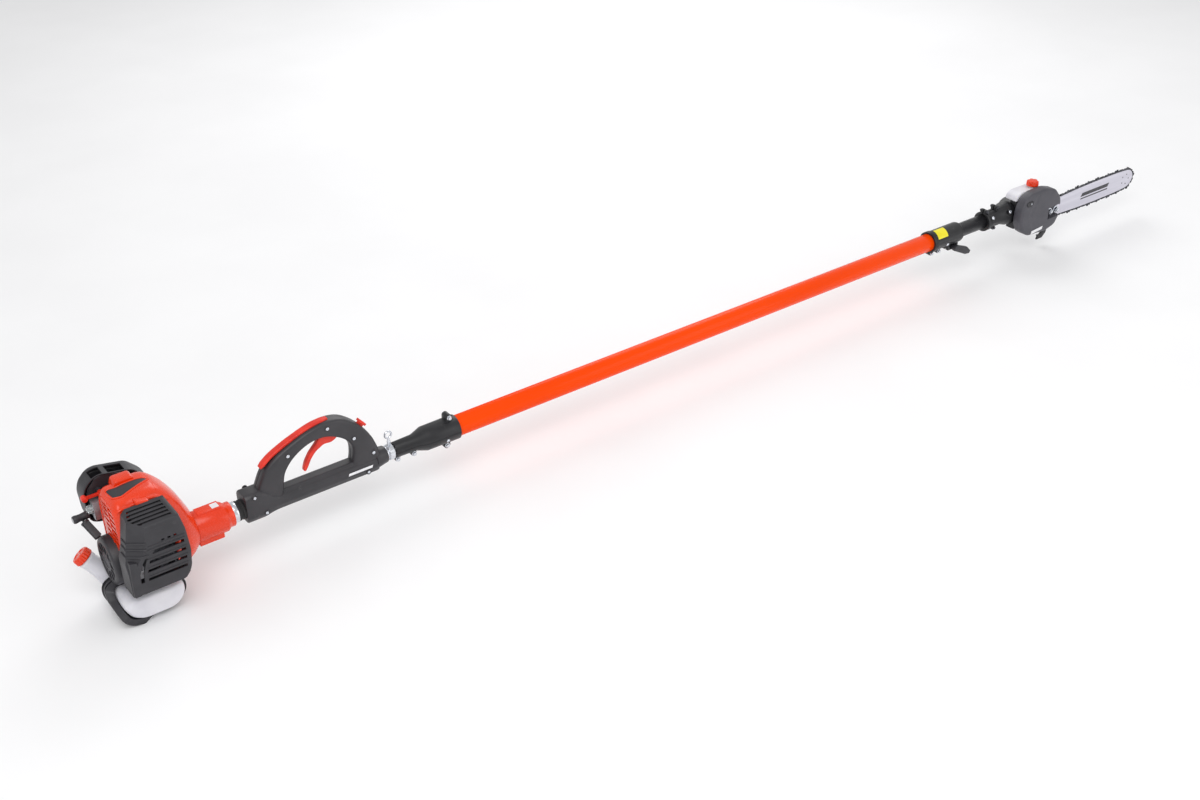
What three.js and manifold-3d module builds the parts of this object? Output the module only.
// Telescoping pole saw: engine, loop handle, two-tube pole and geared saw head. Millimetres, +Z up.
// Drawn with x along the pole from the back of the starter and z = 0 on the crank axis, then moved
// as a whole so that the origin is the middle of the underside of the tank stand.
import * as THREE from "three";
import { mergeVertices } from "three/addons/utils/BufferGeometryUtils.js";
import Module from "manifold-3d";

const wasm = await Module();
wasm.setup();

// ---- driving sizes ----
const AXIS_HEIGHT = 107; // pole axis above the ground the tool stands on
const STAND_X = 55; // middle of the tank stand along the pole
const GAP = 0.3; // clearance between touching pieces
const SHAFT_R = 12.5; // aluminium shaft tube at the handle
const OUTER_R = 20.5; // outer (orange) pole tube
const INNER_R = 16.5; // sliding inner pole tube
const OUTER_FROM = 640;
const OUTER_TO = 2046;
const INNER_FROM = 722;
const INNER_TO = 2212;
const SPROCKET_X = 2262; // sprocket axle, which runs along y
const SPROCKET_Z = -8;
const BAR_Y = -32; // plane of the guide bar
const BAR_Z = -14; // centre line of the guide bar
const BAR_TIP = 2678;
const STUDS = [2346, 2369]; // the two bar studs

// ---- finishes ----
const finish = (colour, roughness, metalness) => ({ colour, roughness, metalness });
const ORANGE = finish("#f2401a", 0.35, 0);
const ORANGE_TUBE = finish("#ff5a24", 0.3, 0.1);
const RED = finish("#d92d1c", 0.4, 0);
const BLACK = finish("#26262a", 0.55, 0);
const CAST_BLACK = finish("#1c1c20", 0.6, 0.3);
const TANK = finish("#dcdcdc", 0.35, 0);
const RUBBER = finish("#161616", 0.85, 0);
const CAST_ALU = finish("#b4b6b8", 0.5, 0.9);
const TUBE_ALU = finish("#d8dadd", 0.25, 1);
const STEEL = finish("#c6c8cc", 0.3, 1);
const DARK_STEEL = finish("#5a5c60", 0.4, 1);
const BULB = finish("#d8e4e8", 0.1, 0);
const FOAM = finish("#5c5c54", 0.95, 0);

// ---- solids ----
function solid(geometry) {
  geometry.deleteAttribute("normal");
  geometry.deleteAttribute("uv");
  const merged = mergeVertices(geometry, 1e-4);
  return new wasm.Manifold(
    new wasm.Mesh({
      numProp: 3,
      vertProperties: merged.attributes.position.array,
      triVerts: new Uint32Array(merged.index.array),
    }),
  );
}

const box = (x0, x1, y0, y1, z0, z1) =>
  solid(
    new THREE.BoxGeometry(x1 - x0, y1 - y0, z1 - z0).translate((x0 + x1) / 2, (y0 + y1) / 2, (z0 + z1) / 2),
  );

// A cylinder or cone between two points.
function rod(from, to, radius, sides = 24, radiusTo = radius) {
  const a = new THREE.Vector3(...from);
  const b = new THREE.Vector3(...to);
  const way = b.clone().sub(a);
  const turn = new THREE.Quaternion().setFromUnitVectors(new THREE.Vector3(0, 1, 0), way.clone().normalize());
  const middle = a.clone().add(b).multiplyScalar(0.5);
  const shape = new THREE.CylinderGeometry(radiusTo, radius, way.length(), sides);
  return solid(shape.applyQuaternion(turn).translate(middle.x, middle.y, middle.z));
}

const alongX = (x0, x1, radius, sides, y = 0, z = 0) => rod([x0, y, z], [x1, y, z], radius, sides);

// A tube along the pole axis with an open bore.
const tubeX = (x0, x1, outer, inner, sides) =>
  alongX(x0, x1, outer, sides).subtract(alongX(x0 - 1, x1 + 1, inner, sides));

// A turned shape about the pole axis: [x, r] pairs from one end of the axis to the other.
function turnedX(profile, sides = 32) {
  const points = [[profile[0][0], 0], ...profile, [profile.at(-1)[0], 0]];
  const shape = new THREE.LatheGeometry(points.map(([x, r]) => new THREE.Vector2(r, x)), sides);
  return solid(shape.rotateZ(-Math.PI / 2));
}

// A side-view outline of [x, z] pairs, with or without rounded edges, made y0..y1 thick.
function plate(outline, y0, y1, bevel = 0) {
  const shape = new THREE.Shape(outline.map(([x, z]) => new THREE.Vector2(x, z)));
  const depth = y1 - y0 - 2 * bevel;
  const options = { depth, bevelEnabled: bevel > 0, bevelThickness: bevel, bevelSize: bevel };
  const made = new THREE.ExtrudeGeometry(shape, { ...options, bevelOffset: -bevel, bevelSegments: 2 });
  return solid(made.rotateX(Math.PI / 2).translate(0, y1 - bevel, 0));
}

// An end-view outline of [y, z] pairs run from x0 to x1.
function bar(outline, x0, x1) {
  const shape = new THREE.Shape(outline.map(([y, z]) => new THREE.Vector2(y, z)));
  const made = new THREE.ExtrudeGeometry(shape, { depth: x1 - x0, bevelEnabled: false });
  return solid(made.rotateX(Math.PI / 2).rotateZ(Math.PI / 2).translate(x0, 0, 0));
}

// A skin through rounded rings: each station is [x, halfWidth, top, bottom, squareness, yCentre].
function loft(stations, sides = 28) {
  const vertices = [];
  const triangles = [];
  for (const [x, half, top, bottom, square, y = 0] of stations) {
    const middle = (top + bottom) / 2;
    const power = 2 / square;
    for (let i = 0; i < sides; i++) {
      const angle = (2 * Math.PI * (i + 0.5)) / sides;
      const across = Math.sign(Math.cos(angle)) * Math.abs(Math.cos(angle)) ** power;
      const up = Math.sign(Math.sin(angle)) * Math.abs(Math.sin(angle)) ** power;
      vertices.push(x, y + half * across, middle + ((top - bottom) / 2) * up);
    }
  }
  for (let s = 0; s + 1 < stations.length; s++) {
    for (let i = 0; i < sides; i++) {
      const a = s * sides + i;
      const b = s * sides + ((i + 1) % sides);
      triangles.push(a, b, b + sides, a, b + sides, a + sides);
    }
  }
  for (let i = 1; i + 1 < sides; i++) {
    const last = (stations.length - 1) * sides;
    triangles.push(0, i + 1, i, last, last + i, last + i + 1);
  }
  const mesh = new wasm.Mesh({
    numProp: 3,
    vertProperties: new Float32Array(vertices),
    triVerts: new Uint32Array(triangles),
  });
  return new wasm.Manifold(mesh);
}

const joined = (pieces) => pieces.reduce((all, one) => all.add(one));
const cut = (body, tools) => tools.reduce((left, tool) => left.subtract(tool), body);

const root = new THREE.Group();
root.name = "telescoping_pole_saw";

function add(name, body, look) {
  const { vertProperties, triVerts } = body.getMesh();
  const geometry = new THREE.BufferGeometry();
  geometry.setAttribute("position", new THREE.BufferAttribute(new Float32Array(vertProperties), 3));
  geometry.setIndex(new THREE.BufferAttribute(new Uint32Array(triVerts), 1));
  geometry.translate(-STAND_X, 0, AXIS_HEIGHT);
  const material = new THREE.MeshStandardMaterial({
    color: look.colour,
    roughness: look.roughness,
    metalness: look.metalness,
  });
  const mesh = new THREE.Mesh(geometry, material);
  mesh.name = name;
  root.add(mesh);
}

// ==== engine ====
const caseBody = joined([
  alongX(50, 110, 36, 32),
  box(62, 98, -30, 30, 20, 39),
  alongX(104, 110, 38.5, 32),
  box(50, 56, -36, 36, -36, 0),
]);
add(
  "crankcase",
  cut(caseBody, [alongX(66, 96, 28, 32), alongX(40, 120, 7.3, 20), rod([80, 0, 0], [80, 0, 60], 17, 24)]),
  CAST_ALU,
);

const finLevels = [45, 54, 63, 72, 81, 90];
const finPack = joined([
  rod([80, 0, 39.3], [80, 0, 98], 23, 24),
  ...finLevels.map((z) => box(46, 112, -34, 34, z, z + 2.4)),
  box(66, 94, -39, 39, 50, 78),
  box(56, 104, -30, 30, 94, 98),
]);
add(
  "cylinder",
  cut(finPack, [
    rod([80, 0, 30], [80, 0, 90], 17, 24),
    rod([80, 0, 85], [80, 0, 110], 5.3, 16),
    rod([80, -60, 64], [80, 60, 64], 8, 16),
  ]),
  CAST_ALU,
);
add(
  "piston",
  cut(rod([80, 0, 44], [80, 0, 82], 16.6, 24), [rod([80, 0, 40], [80, 0, 76], 14, 24)]),
  CAST_ALU,
);
add(
  "spark_plug",
  joined([
    rod([80, 0, 91], [80, 0, 98.3], 5, 16),
    rod([80, 0, 98.3], [80, 0, 104], 8, 6),
    rod([80, 0, 104], [80, 0, 120], 6, 16),
  ]),
  BLACK,
);

add(
  "crankshaft",
  turnedX([[42, 6], [72, 6], [72, 24], [90, 24], [90, 6], [159, 6]], 24),
  STEEL,
);
const blades = [];
for (let i = 0; i < 10; i++) {
  blades.push(box(121, 135, 19, 39, -1.4, 1.4).rotate([i * 36, 0, 0]));
}
add(
  "flywheel",
  cut(joined([alongX(114, 122, 40, 32), alongX(118, 136, 20, 24), ...blades]), [alongX(110, 140, 6.3, 24)]),
  CAST_ALU,
);
add(
  "clutch_shoes",
  cut(joined([alongX(144, 156, 23, 24)]), [
    alongX(140, 160, 6.3, 24),
    box(140, 160, 8, 30, -2, 2),
    box(140, 160, -30, -8, -2, 2),
  ]),
  DARK_STEEL,
);
add(
  "clutch_drum",
  cut(joined([alongX(142, 163, 26, 32), alongX(160, 169, 9, 24)]), [
    alongX(140, 160.5, 23.6, 32),
    alongX(158, 172, 4.8, 24),
  ]),
  DARK_STEEL,
);

// The fan shroud and cylinder cover: a square-backed hood that rounds down to the clutch housing.
const hoodLine = [
  [35, 37, 118, 6, -9], [38, 40, 124, 5, -9], [60, 43, 128, 5, -6], [98, 46, 130, 5, -2],
  [113, 47, 127, 4, 0], [127, 47, 117, 3.4, 0], [140, 45, 102, 3, 0], [151, 42, 84, 2.7, 0],
  [160, 37, 64, 2.4, 0], [167, 32, 47, 2.2, 0], [171.7, 28, 32, 2, 0],
];
const hoodBottom = [-46, -46, -46, -46, -46, -46, -46, -44, -40, -34, -29];
const hoodRings = (t) =>
  hoodLine.map(([x, half, top, square, y], i) => [x, half - t, top - t, hoodBottom[i] + t, square, y]);
const hoodInner = hoodRings(3);
hoodInner[0][0] = 38;
hoodInner[1][0] = 41;
hoodInner.pop();
const hoodCuts = [
  loft(hoodInner),
  box(20, 113, -60, 60, -60, 27),
  box(54, 113, -60, -30, 20, 100),
  box(45, 113, 22, 60, 20, 96),
  alongX(0, 60, 44, 32),
  alongX(150, 180, 18, 24),
];
for (let i = 0; i < 7; i++) hoodCuts.push(box(25, 42, -38, 18, 44 + i * 10.5, 49.5 + i * 10.5));
const plugHump = plate([[58, 118], [63, 136], [92, 136], [98, 118]], 8, 32, 3);
add("engine_cover", cut(loft(hoodRings(0)).add(plugHump), hoodCuts), ORANGE);

const housing = joined([
  turnedX([[172, 28], [226, 27], [232, 22.5], [240, 22.5]], 32),
  box(172, 216, -21, 21, -27, 0),
  box(180, 222, -9, 11, 20, 28.5),
]);
add(
  "clutch_housing",
  cut(housing, [alongX(165, 245, SHAFT_R + GAP, 32)]),
  ORANGE,
);
add("tube_ring", tubeX(240.3, 249, 19, SHAFT_R + GAP, 32), STEEL);
const sleeveProfile = [
  [249.3, 18], [254, 18], [254, 16.6], [257, 16.6], [257, 18], [262, 18], [262, 16], [276, 16],
];
add(
  "isolator_sleeve",
  cut(turnedX(sleeveProfile, 32), [
    alongX(240, 280, SHAFT_R + GAP, 32),
  ]),
  RUBBER,
);

// Exhaust side.
add(
  "muffler",
  cut(box(60, 112, -84, -39.3, 8, 88), [
    box(61.5, 110.5, -82.5, -40.8, 9.5, 86.5),
    rod([80, -60, 64], [80, -30, 64], 8, 16),
    rod([100, -90, 16], [100, -70, 16], 5, 16),
  ]),
  DARK_STEEL,
);
const guardSide = [
  [27, -17], [112, -23], [124, -17], [131, 0], [134, 30], [131, 70], [124, 102], [114, 126], [56, 126],
  [44, 114], [34, 60], [27, 38],
];
const inset = (outline, t) => {
  const cx = outline.reduce((sum, p) => sum + p[0], 0) / outline.length;
  const cz = outline.reduce((sum, p) => sum + p[1], 0) / outline.length;
  return outline.map(([x, z]) => [x - Math.sign(x - cx) * t, z - Math.sign(z - cz) * t]);
};
let guard = plate(guardSide, -94, -52, 3);
let hollow = plate(inset(guardSide, 3), -91, -40, 2);
guard = cut(guard, [
  box(0, 200, -80, 80, 0, 80).rotate([24, 0, 0]).translate([0, -94, 103]),
  box(-60, 0, -80, 0, 46, 140).rotate([0, 0, -38]).translate([52, -94, 0]),
]);
hollow = cut(hollow, [
  box(0, 200, -80, 80, 0, 80).rotate([24, 0, 0]).translate([0, -94, 99.6]),
  box(-60, 0, -80, 0, 43, 140).rotate([0, 0, -38]).translate([53.5, -90.5, 0]),
]);
const louvres = [];
for (let i = 0; i < 4; i++) louvres.push(box(62, 118, -86 + i * 8, -82 + i * 8, 90, 130));
for (let i = 0; i < 4; i++) louvres.push(box(56, 122, -100, -86, 50 - i * 16, 55 - i * 16));
louvres.push(box(43, 49, -100, -86, 4, 40));
add("muffler_guard", cut(guard, [hollow, ...louvres]), BLACK);

// Intake side.
add(
  "intake_block",
  cut(box(66, 94, 39.3, 44, 50, 78), [rod([80, 30, 64], [80, 60, 64], 8, 16)]),
  BLACK,
);
add(
  "carburettor",
  cut(joined([box(56, 100, 44.3, 57, 46, 82), box(28, 56.5, 37, 56, 58, 92)]), [
    rod([80, 40, 64], [80, 80, 64], 8, 16),
    alongX(20, 33, 8.2, 20, 46.5, 77),
  ]),
  CAST_ALU,
);
add("primer_bulb", turnedX([[19, 4], [20.5, 6.6], [24, 7.8], [29, 7.8]], 20).translate([0, 46.5, 77]), BULB);
add(
  "choke_lever",
  joined([
    box(20, 47, 45, 49, 97.6, 102.4),
    rod([19, 42, 100], [19, 52, 100], 5, 16),
    rod([47, 43, 100], [47, 51, 100], 5, 16),
  ]).subtract(rod([47, 30, 100], [47, 60, 100], 2.3, 12)),
  RED,
);
const cleanerLine = [
  [21, 58], [25, 48], [38, 42], [124, 42], [134, 52], [136, 76], [128, 98], [106, 121], [52, 132],
  [38, 128], [24, 114], [19, 98],
];
add(
  "air_cleaner_base",
  cut(
    joined([
      plate(inset(cleanerLine, 6), 57.3, 61, 0),
      rod([47, 51.3, 100], [47, 58, 100], 6, 12),
      rod([47, 41, 100], [47, 53, 100], 2, 12),
      rod([75, 60, 86], [75, 83, 86], 4, 12),
    ]),
    [rod([80, 50, 64], [80, 70, 64], 8, 16)],
  ),
  BLACK,
);
add(
  "air_filter",
  cut(box(32, 116, 61.3, 76, 54, 104), [rod([75, 50, 86], [75, 90, 86], 6, 12)]),
  FOAM,
);
add(
  "air_cleaner_cover",
  cut(plate(cleanerLine, 52, 90, 8), [
    plate(inset(cleanerLine, 3), 40, 87, 5),
    rod([75, 80, 86], [75, 100, 86], 5, 16),
    box(40, 60, 45, 78, 114, 140),
    box(66, 96, 45, 78, 108, 140),
  ]),
  BLACK,
);
add(
  "air_cleaner_knob",
  joined([rod([75, 90.3, 86], [75, 99, 86], 11, 20), rod([75, 83.4, 86], [75, 91, 86], 4.2, 12)]),
  BLACK,
);

// Starter.
add(
  "starter_housing",
  cut(alongX(20, 49.7, 43, 32), [
    cut(alongX(23, 60, 40, 32), [alongX(20, 40, 6, 20)]),
    rod([32, 6, 30], [20, 26, 56], 4.5, 12),
  ]),
  BLACK,
);
add("starter_reel", tubeX(26, 39.5, 33, 6.4, 24), BLACK);
const pull = new THREE.Vector3(-0.3, 0.75, 0.59).normalize();
const gripAt = new THREE.Vector3(3, 31, 79);
const backAlong = (t) => gripAt.clone().addScaledVector(pull, -t).toArray();
add(
  "rope_guide",
  cut(rod(backAlong(44), backAlong(11), 6.5, 12), [
    rod(backAlong(60), backAlong(0), 3.6, 10),
    alongX(0, 60, 43.3, 32),
  ]),
  BLACK,
);
add(
  "starter_grip",
  joined([rod([-10, 30, 79], [16, 32, 79], 7, 16), rod(backAlong(26), backAlong(0), 2.4, 8)]),
  BLACK,
);

// Fuel tank, cap and stand.
const capWay = new THREE.Vector3(-0.55, 0.35, 0.75).normalize();
const capFoot = new THREE.Vector3(-1, 58, -16);
const capAlong = (t) => capFoot.clone().addScaledVector(capWay, t).toArray();
const tankSide = (t) => [
  [32 + t, -51 - t], [116 - t, -51 - t], [123 - t, -60], [122 - t, -74], [112 - t, -88 + t],
  [98 - t, -96 + t], [44 + t, -96 + t], [26 + t, -84 + t], [17 + t, -64],
];
const tank = joined([
  plate(tankSide(0), -62, 66, 8),
  rod(capAlong(-50), capAlong(-4), 15, 24),
]);
add(
  "fuel_tank",
  cut(tank, [plate(tankSide(3), -59, 63, 4), rod(capAlong(-56), capAlong(0), 12, 20)]),
  TANK,
);
add(
  "fuel_cap",
  joined([rod(capAlong(-3.6), capAlong(9), 17, 28), rod(capAlong(-14), capAlong(-3), 11.5, 20)]),
  ORANGE,
);
const strapLine = [
  [49.7, -48.5], [22, -48.5], [15.5, -56], [15.5, -70], [24, -89], [42, -98], [84, -98], [84, -107],
  [36, -107], [16, -97], [6, -76], [5, -52], [12, -42], [49.7, -39],
];
const edgeLine = [
  [80, -99], [99, -99.2], [114.5, -90.5], [125, -75], [126, -59], [119, -49.5], [117, -50.4],
  [123.6, -59.8], [122.6, -74.2], [112.7, -88.4], [98.3, -96.6], [80, -96.6],
];
const footPad = plate([[34, -107], [84, -107], [84, -99], [42, -99]].reverse(), 0, 44, 1);
// The cradle is narrow where it comes down behind the tank and narrows again to its front end.
const cradle = cut(plate(strapLine.slice().reverse(), -56, 12, 2), [
  bar([[-70, -84], [-57, -84], [-6, -50], [-6, -30], [-70, -30]], -5, 60),
  box(0, 70, -40, 0, -109, -97).rotate([0, 0, 32]).translate([46, -57, 0]),
]);
add(
  "tank_stand",
  cut(joined([cradle, plate(edgeLine, -50, 12), footPad]), [alongX(0, 80, 43.3, 32)]),
  BLACK,
);

// ==== shaft tube, handle ====
add("shaft_tube", tubeX(174, 628, SHAFT_R, SHAFT_R - 1.5, 32), TUBE_ALU);

const loopOut = [
  [284, 8], [288, 25], [296, 44], [306, 63], [325, 80], [362, 99], [404, 113], [436, 117], [461, 111],
  [481, 98], [500, 78], [517, 50], [526, 24], [530, 8],
];
const loopIn = [
  [470, 8], [475, 28], [475, 48], [468, 62], [448, 77], [425, 87], [401, 88], [375, 78], [356, 62],
  [345, 46], [340, 26], [338, 8],
];
const base = [[-11, 15], [-17, 6], [-18, -8], [-13, -20], [13, -20], [18, -8], [17, 6], [11, 15]];
const rear = [[-13, 32], [-20, 25], [-20, -14], [-14, -24], [14, -24], [20, -14], [20, 25], [13, 32]];
const handleSolid = joined([
  plate([...loopOut, ...loopIn].reverse(), -15, 15, 5),
  bar(base, 300, 522),
  bar(rear, 262, 292),
  plate([[292, 32], [292, -24], [304, -24], [304, 20]].reverse(), -17, 17, 4),
  plate([[300, -12], [300, -25], [316, -25], [330, -18], [330, -12]].reverse(), -14, 14, 0),
  rod([521, 0, -2], [543, 0, 0], 19, 20, 15.5),
]);
const loopHollow = plate(
  [
    [300, 20], [304, 40], [314, 60], [330, 75], [366, 93], [406, 107], [436, 110], [458, 105], [476, 92],
    [494, 73], [509, 46], [515, 24], [482, 24], [482, 48], [474, 66], [452, 83], [425, 93], [399, 94],
    [371, 84], [350, 67], [339, 49], [333, 26], [332, 20],
  ].reverse(),
  -11,
  11,
  0,
);
const handleCuts = [
  alongX(276.5, 550, SHAFT_R + GAP, 32),
  alongX(255, 276.5, 18.4, 32),
  loopHollow,
  box(402, 461, -5.2, 5.2, 60, 96),
  plate(
    [[298, 66], [313, 58], [368, 91], [408, 104], [440, 108], [440, 130], [300, 130]].reverse(),
    -7,
    7,
    0,
  ),
  box(-9.6, 8.6, -4, 4, -14, 30).rotate([0, 50, 0]).translate([500, 0, 78]),
  rod([444, -11.4, 86], [444, 11.4, 86], 2.6, 12),
];
const handle = cut(handleSolid, handleCuts);
add("handle_right", handle.subtract(box(200, 600, -GAP / 2, 60, -60, 160)), BLACK);
add("handle_left", handle.subtract(box(200, 600, -60, GAP / 2, -60, 160)), BLACK);

add(
  "throttle_trigger",
  plate(
    [
      [459, 84], [450, 73], [440, 68], [425, 70], [408, 61], [398, 50], [391, 37], [385, 29], [381, 32],
      [386, 47], [396, 62], [411, 77], [420, 90], [436, 96], [454, 92],
    ],
    -4.6,
    4.6,
    1.2,
  ).subtract(rod([444, -10, 86], [444, 10, 86], 2.4, 12)),
  RED,
);
add(
  "trigger_pin",
  rod([444, -11, 86], [444, 11, 86], 2.1, 12),
  STEEL,
);
add(
  "lockout_strip",
  plate(
    [
      [302, 70], [312, 66], [330, 79], [366, 97], [406, 110], [436, 112], [438, 119], [434, 121.5],
      [404, 117.5], [361, 104], [323, 85.5],
    ],
    -6.6,
    6.6,
    1.2,
  ),
  RED,
);
add(
  "stop_switch",
  joined([box(493, 505, -3.6, 3.6, -7, 6), box(490.5, 507.5, -5.6, 5.6, 3.4, 8)])
    .translate([-502, 0, 0])
    .rotate([0, 50, 0])
    .translate([500, 0, 78]),
  RED,
);
add(
  "harness_eye",
  cut(
    joined([
      tubeX(547, 557, 15, SHAFT_R + GAP, 28),
      plate(
        [[547, 13], [557, 13], [558, 30], [560, 36], [557, 43], [552, 45], [547, 43], [544, 36], [546, 30]],
        -2,
        2,
        0,
      ),
    ]),
    [rod([552, -9, 37], [552, 9, 37], 5, 16)],
  ),
  STEEL,
);

// ==== lower coupling: clamps the shaft tube to the outer pole tube ====
// A clamp lug: a boss across the tube at (x, z) with a web down to the tube.
const lug = (x, z, radius, half) => [
  rod([x, -half, z], [x, half, z], radius, 20),
  box(x - radius, x + radius, -half, half, Math.min(0, z), Math.max(0, z)),
];
const lowerForm = joined([
  turnedX([[560, 15], [602, 16], [624, 23.5], [692, 24]], 32),
  ...lug(564, -17, 5.2, 7),
  ...lug(598, -19, 5.2, 7),
  ...lug(668, -28, 6.5, 8.5),
  ...lug(676, 29, 6.5, 8.5),
]);
const lowerCuts = [
  alongX(555, 632, SHAFT_R + GAP, 32),
  alongX(638, 710, OUTER_R + GAP, 32),
  alongX(628, 638.1, SHAFT_R + 2, 32),
];
const lowerCoupling = cut(lowerForm, lowerCuts);
add("lower_coupling_top", lowerCoupling.subtract(box(540, 720, -60, 60, -60, GAP)), BLACK);
add("lower_coupling_bottom", lowerCoupling.subtract(box(540, 720, -60, 60, 0, 60)), BLACK);

// ==== telescoping tubes ====
add("outer_tube", tubeX(OUTER_FROM, OUTER_TO, OUTER_R, 18.9, 36), ORANGE_TUBE);
const upperForm = joined([
  turnedX([[1966, 25], [1978, 25], [1978, 23.5], [2060, 23.5], [2064, 22]], 32),
  ...lug(1974, -27, 5.5, 8),
  ...lug(1998, -28, 5.5, 8),
  box(2030, 2062, -9, 9, -36, 0),
]);
add(
  "upper_coupling",
  cut(upperForm, [
    alongX(1940, 2046.3, OUTER_R + GAP, 36),
    alongX(2040, 2070, INNER_R + GAP, 36),
    box(1986, 2070, -1.5, 1.5, -40, -18),
    rod([2046, -20, -30], [2046, 20, -30], 4.3, 16),
  ]),
  BLACK,
);
add(
  "clamp_stud",
  joined([rod([2046, -16, -30], [2046, 13, -30], 4, 16), rod([2046, 9.3, -30], [2046, 15, -30], 6.6, 6)]),
  STEEL,
);
const wingLine = [[2040, -36], [2050, -24.5], [2084, -38], [2096, -50], [2092, -57], [2078, -55]];
add(
  "clamp_knob",
  cut(
    joined([
      rod([2046, -23, -30], [2046, -9.3, -30], 7.8, 20),
      plate(wingLine.slice().reverse(), -22, -12, 2),
    ]),
    [rod([2046, -17, -30], [2046, 0, -30], 4.3, 16)],
  ),
  BLACK,
);
add("inner_tube", tubeX(INNER_FROM, INNER_TO, INNER_R, 14.8, 36), BLACK);
add("slide_bush", tubeX(INNER_FROM + 4, INNER_FROM + 40, 18.6, INNER_R + GAP, 36), BLACK);

// ==== drive ====
add(
  "lower_drive_shaft",
  cut(joined([alongX(161, 640, 4.5, 16), alongX(600, 2030, 5.6, 16)]), [alongX(620, 2040, 4, 16)]),
  DARK_STEEL,
);
add("upper_drive_shaft", alongX(745, 2222, 3.6, 16), STEEL);
add(
  "pinion",
  cut(rod([2222, 0, 0], [2238, 0, 0], 11, 16, 7), [alongX(2210, 2234, 3.6 + GAP, 16)]),
  DARK_STEEL,
);

// ==== saw head ====
const axle = (y0, y1, radius, sides = 24, radiusTo = radius) =>
  rod([SPROCKET_X, y0, SPROCKET_Z], [SPROCKET_X, y1, SPROCKET_Z], radius, sides, radiusTo);
const headBody = joined([
  turnedX([[2150, 20.5], [2204, 21], [2222, 27], [2236, 29]], 32),
  alongX(2150, 2162, 23.5, 32),
  ...lug(2156, 25, 5, 8),
  ...lug(2192, 26, 5, 8),
  ...lug(2186, -23, 5, 8),
  plate(
    [
      [2236, -34], [2262, -40], [2300, -36], [2372, -34], [2378, -16], [2366, 16], [2300, 30], [2240, 32],
    ].reverse(),
    -28.5,
    -4,
    2,
  ),
  box(2334, 2380, -30.1, -26, BAR_Z - 12, BAR_Z + 12),
  axle(-8, 28, 31, 32),
  axle(27, 33, 14),
]);
const headCuts = [
  alongX(2140, 2212.4, INNER_R + GAP, 36),
  alongX(2200, 2246, 13, 24),
  axle(-22, 24, 24, 32),
  axle(-50, 31, 7.3, 20),
  box(2140, 2206, -1.2, 1.2, 10, 40),
];
add("gear_head", cut(headBody, headCuts), CAST_BLACK);
add(
  "sprocket_axle",
  joined([
    axle(-42, 30.5, 7, 20),
    axle(12, 22, 16, 20, 22),
    axle(-36, -30.4, 17, 7),
    axle(-41, -36, 18.5, 20),
  ]),
  DARK_STEEL,
);
const oilLine = [[2234, 33], [2240, 47], [2254, 53], [2322, 52], [2330, 43], [2328, 32]];
add(
  "oil_tank",
  cut(joined([plate(oilLine.slice().reverse(), -26, 10, 3), rod([2304, -13, 48], [2304, -13, 56], 11, 24)]), [
    plate(inset(oilLine, 3).reverse(), -23, 7, 1),
    rod([2304, -13, 44], [2304, -13, 70], 9, 20),
    turnedX([[2140, 29.4], [2260, 29.4]], 32),
    axle(-40, 40, 31.3, 32),
  ]),
  TANK,
);
add(
  "oil_cap",
  joined([rod([2304, -13, 56.3], [2304, -13, 68], 14.5, 28), rod([2304, -13, 49], [2304, -13, 57], 8.6, 16)]),
  ORANGE,
);

const atStud = (x, y0, y1, radius, sides = 16) => rod([x, y0, BAR_Z], [x, y1, BAR_Z], radius, sides);
const studHoles = (radius) => STUDS.map((x) => atStud(x, -80, 0, radius));
for (const [i, x] of STUDS.entries()) {
  const end = i === 0 ? "rear" : "front";
  const nut = joined([atStud(x, -48, -42, 7, 6), atStud(x, -42.2, -40.7, 9)]);
  add("bar_nut_" + end, nut.subtract(atStud(x, -60, -30, 4.3)), STEEL);
  add("bar_stud_" + end, atStud(x, -50, -30.4, 4), STEEL);
}

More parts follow.
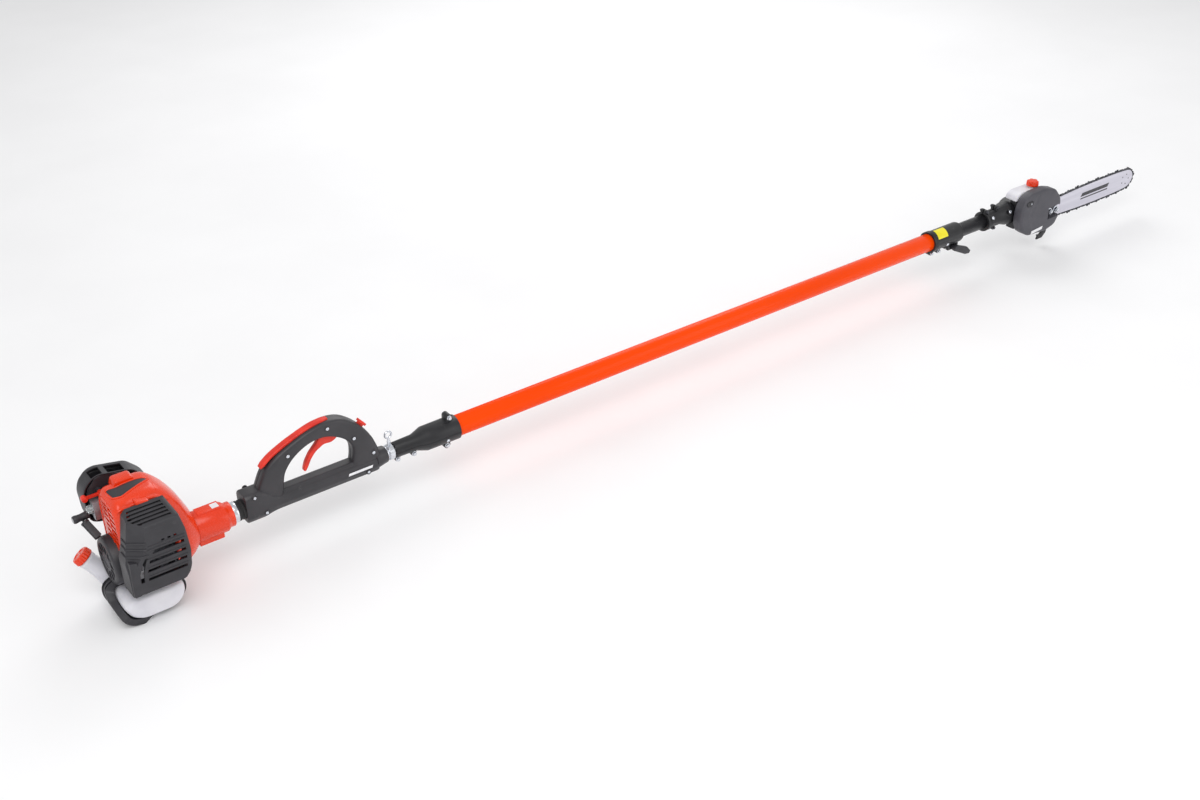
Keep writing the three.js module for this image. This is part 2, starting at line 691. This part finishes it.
// Upper or lower edge of the bar: height above or below its centre line at x.
const barEdge = [[2336, 19], [2400, 23], [2470, 26], [2560, 27], [2640, 25]];
function barOutline(extra) {
  const nose = BAR_TIP - 30;
  const upper = barEdge.map(([x, half]) => [x, BAR_Z + half + extra]);
  const lower = barEdge.map(([x, half]) => [x, BAR_Z - half - extra]).reverse();
  const round = [];
  for (let i = 1; i < 10; i++) {
    const angle = Math.PI / 2 - (Math.PI * i) / 10;
    round.push([nose + (24 + extra) * Math.cos(angle), BAR_Z + (24 + extra) * Math.sin(angle)]);
  }
  return [...upper, ...round, ...lower];
}
add(
  "guide_bar",
  cut(
    plate([...barOutline(0), [2329, BAR_Z - 10], [2329, BAR_Z + 10]].reverse(), BAR_Y - 1.6, BAR_Y + 1.6),
    studHoles(4.4),
  ),
  STEEL,
);
function chainOutline(extra) {
  const back = [];
  for (let i = 0; i <= 8; i++) {
    const angle = -Math.PI / 2 - (Math.PI * i) / 8;
    const reach = 18.8 + extra;
    back.push([SPROCKET_X + reach * Math.cos(angle), SPROCKET_Z + reach * Math.sin(angle)]);
  }
  return [...barOutline(extra + 0.4), ...back].reverse();
}
add(
  "saw_chain",
  plate(chainOutline(5.6), BAR_Y - 3, BAR_Y + 3).subtract(plate(chainOutline(0), BAR_Y - 5, BAR_Y + 5)),
  DARK_STEEL,
);
const coverLine = [
  [2226, -8], [2228, 24], [2240, 46], [2258, 58], [2310, 59], [2346, 48], [2368, 22], [2375, -16],
  [2358, -47], [2328, -55], [2262, -51], [2236, -34],
].reverse();
const nutSeat = cut(box(2331, 2384, -53, -33.9, BAR_Z - 17, BAR_Z + 17), [
  box(2334, 2400, -60, -40.4, BAR_Z - 14, BAR_Z + 14),
]).intersect(plate(inset(coverLine, 2), -60, -20));
add(
  "side_cover",
  cut(
    joined([
      cut(plate(coverLine, -55, -30.3, 4), [
        plate(inset(coverLine, 4), -51, -20, 2),
        box(2334, 2400, -60, -40.4, BAR_Z - 14, BAR_Z + 14),
        box(2340, 2400, -36.6, -20, -52, 24),
        rod([2254, -60, 34], [2254, -30, 34], 4, 12),
      ]),
      nutSeat,
    ]),
    [...studHoles(4.4), box(2340, 2400, -36.6, -33, -52, 24)],
  ),
  BLACK,
);
add(
  "branch_hook",
  plate(
    [
      [2310, -37.5], [2310, -50], [2344, -56], [2347, -72], [2340, -79], [2330, -77], [2334, -83],
      [2330, -90], [2352, -90], [2364, -78], [2366, -60], [2372, -50], [2372, -35.5],
    ],
    -28.4,
    -24,
  ),
  CAST_BLACK,
);

export default root;
